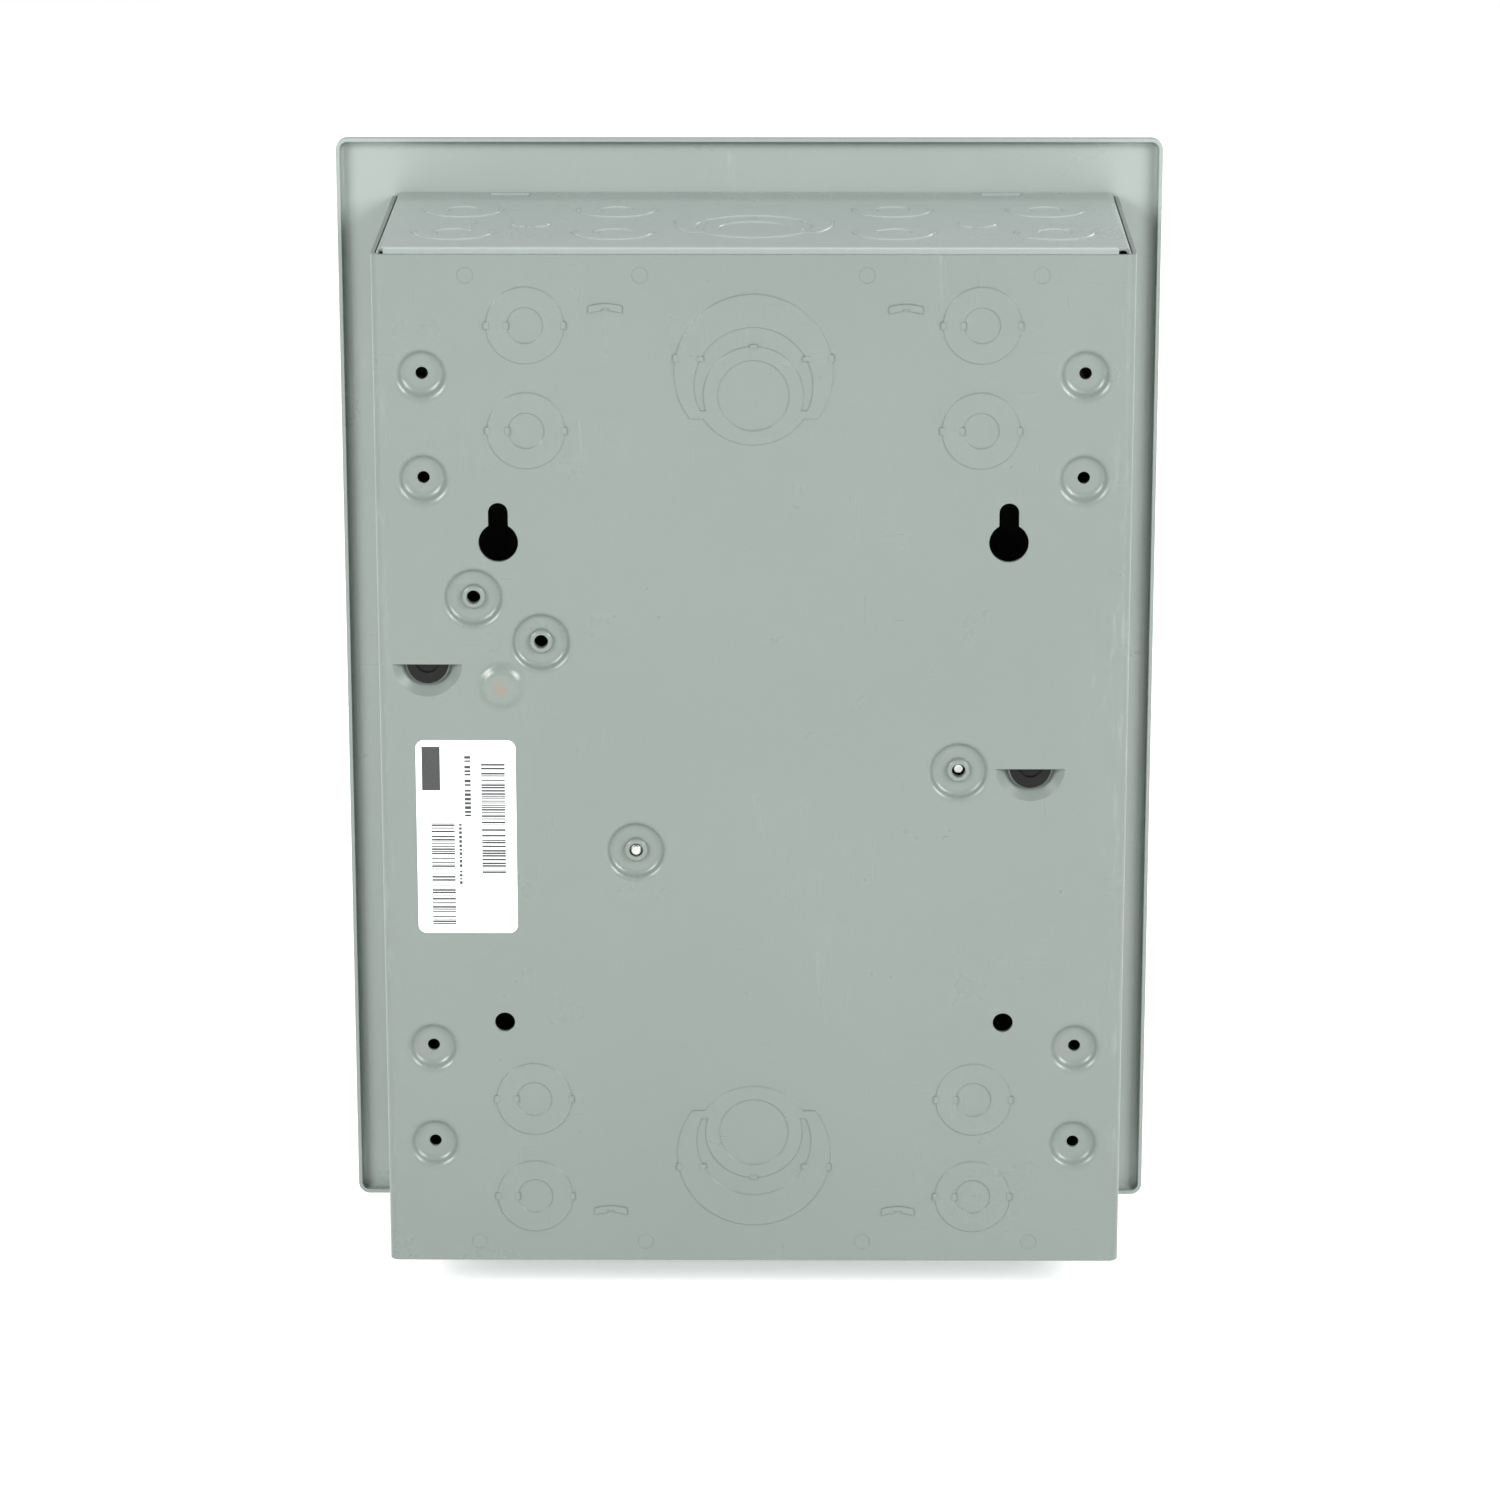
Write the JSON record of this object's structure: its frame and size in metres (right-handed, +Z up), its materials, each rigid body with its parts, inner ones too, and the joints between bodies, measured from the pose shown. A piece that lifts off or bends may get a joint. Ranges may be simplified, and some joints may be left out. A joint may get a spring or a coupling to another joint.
{
  "type": "residential load center",
  "caption": "Flush-mounted electrical load center: pressed steel box with knockouts, cover, bus bars, neutral bar and plug-on breakers.",
  "frame": {"origin": "centre of the box back face, on the wall side", "axes": "+Z up, -Y out of the cover towards the room, +Y into the wall, +X to the right seen from the front"},
  "size_m": [0.2563, 0.1156, 0.3486],
  "materials": {
    "box_paint": "satin",
    "cover_paint": "satin",
    "label_paper": "matte",
    "base_plastic": "matte",
    "tinned_bus": "satin",
    "lug_aluminium": "satin",
    "breaker_plastic": "matte",
    "handle_plastic": "satin",
    "contact_copper": "satin",
    "zinc_screw": "satin"
  },
  "bodies": {
    "panel": {"back_label": "label_paper", "bonding_screw": "zinc_screw", "bottom_end_wall": "box_paint", "breaker_rivets": "zinc_screw", "breaker_support_left": "base_plastic", "breaker_support_right": "base_plastic", "bus_screws": "zinc_screw", "cover_screws": "zinc_screw", "enclosure_wrapper": "box_paint", "flush_cover": "cover_paint", "interior_base": "base_plastic", "interior_fixing_screw": "zinc_screw", "line_bus_left": "tinned_bus", "line_bus_right": "tinned_bus", "lug_mounting_screws": "zinc_screw", "lug_set_screws": "zinc_screw", "main_lug_left": "lug_aluminium", "main_lug_right": "lug_aluminium", "neutral_bar": "lug_aluminium", "neutral_bar_screws": "zinc_screw", "neutral_lug": "lug_aluminium", "neutral_strap": "tinned_bus", "neutral_terminal_screws": "zinc_screw", "pole_1_case_a": "breaker_plastic", "pole_1_case_b": "breaker_plastic", "pole_1_line_jaw": "contact_copper", "pole_1_load_terminal": "contact_copper", "pole_2_case_a": "breaker_plastic", "pole_2_case_b": "breaker_plastic", "pole_2_line_jaw": "contact_copper", "pole_2_load_terminal": "contact_copper", "pole_3_case_a": "breaker_plastic", "pole_3_case_b": "breaker_plastic", "pole_3_line_jaw": "contact_copper", "pole_3_load_terminal": "contact_copper", "pole_4_case_a": "breaker_plastic", "pole_4_case_b": "breaker_plastic", "pole_4_line_jaw": "contact_copper", "pole_4_load_terminal": "contact_copper", "pole_5_case_a": "breaker_plastic", "pole_5_case_b": "breaker_plastic", "pole_5_line_jaw": "contact_copper", "pole_5_load_terminal": "contact_copper", "terminal_screws": "zinc_screw", "top_end_wall": "box_paint"},
    "toggle_1_2": {"pole_1_handle": "handle_plastic", "pole_2_handle": "handle_plastic", "handle_tie": "handle_plastic"},
    "contacts_1_2": {"pole_1_contact_arm": "contact_copper", "pole_2_contact_arm": "contact_copper"},
    "toggle_3": {"pole_3_handle": "handle_plastic"},
    "contacts_3": {"pole_3_contact_arm": "contact_copper"},
    "toggle_4": {"pole_4_handle": "handle_plastic"},
    "contacts_4": {"pole_4_contact_arm": "contact_copper"},
    "toggle_5": {"pole_5_handle": "handle_plastic"},
    "contacts_5": {"pole_5_contact_arm": "contact_copper"}
  },
  "joints": [
    {"name": "toggle_1_2_throw", "type": "hinge", "parent": "panel", "child": "toggle_1_2", "pos_m": [-0.04, -0.09, 0.0007], "axis": [0, 0, 1], "range_deg": [0, 40]},
    {"name": "contacts_1_2_close", "type": "hinge", "parent": "panel", "child": "contacts_1_2", "pos_m": [-0.044, -0.072, 0.0007], "axis": [0, 0, 1], "range_deg": [0, 16.5]},
    {"name": "toggle_3_throw", "type": "hinge", "parent": "panel", "child": "toggle_3", "pos_m": [-0.04, -0.09, -0.0247], "axis": [0, 0, 1], "range_deg": [0, 40]},
    {"name": "contacts_3_close", "type": "hinge", "parent": "panel", "child": "contacts_3", "pos_m": [-0.044, -0.072, -0.0247], "axis": [0, 0, 1], "range_deg": [0, 16.5]},
    {"name": "toggle_4_throw", "type": "hinge", "parent": "panel", "child": "toggle_4", "pos_m": [0.04, -0.09, 0.0261], "axis": [0, 0, -1], "range_deg": [0, 40]},
    {"name": "contacts_4_close", "type": "hinge", "parent": "panel", "child": "contacts_4", "pos_m": [0.044, -0.072, 0.0261], "axis": [0, 0, -1], "range_deg": [0, 16.5]},
    {"name": "toggle_5_throw", "type": "hinge", "parent": "panel", "child": "toggle_5", "pos_m": [0.04, -0.09, 0.0007], "axis": [0, 0, -1], "range_deg": [0, 40]},
    {"name": "contacts_5_close", "type": "hinge", "parent": "panel", "child": "contacts_5", "pos_m": [0.044, -0.072, 0.0007], "axis": [0, 0, -1], "range_deg": [0, 16.5]}
  ],
  "couplings": [
    {"joint": "contacts_1_2_close", "follows": "toggle_1_2_throw", "ratio": 0.4},
    {"joint": "contacts_3_close", "follows": "toggle_3_throw", "ratio": 0.4},
    {"joint": "contacts_4_close", "follows": "toggle_4_throw", "ratio": 0.4},
    {"joint": "contacts_5_close", "follows": "toggle_5_throw", "ratio": 0.4}
  ]
}
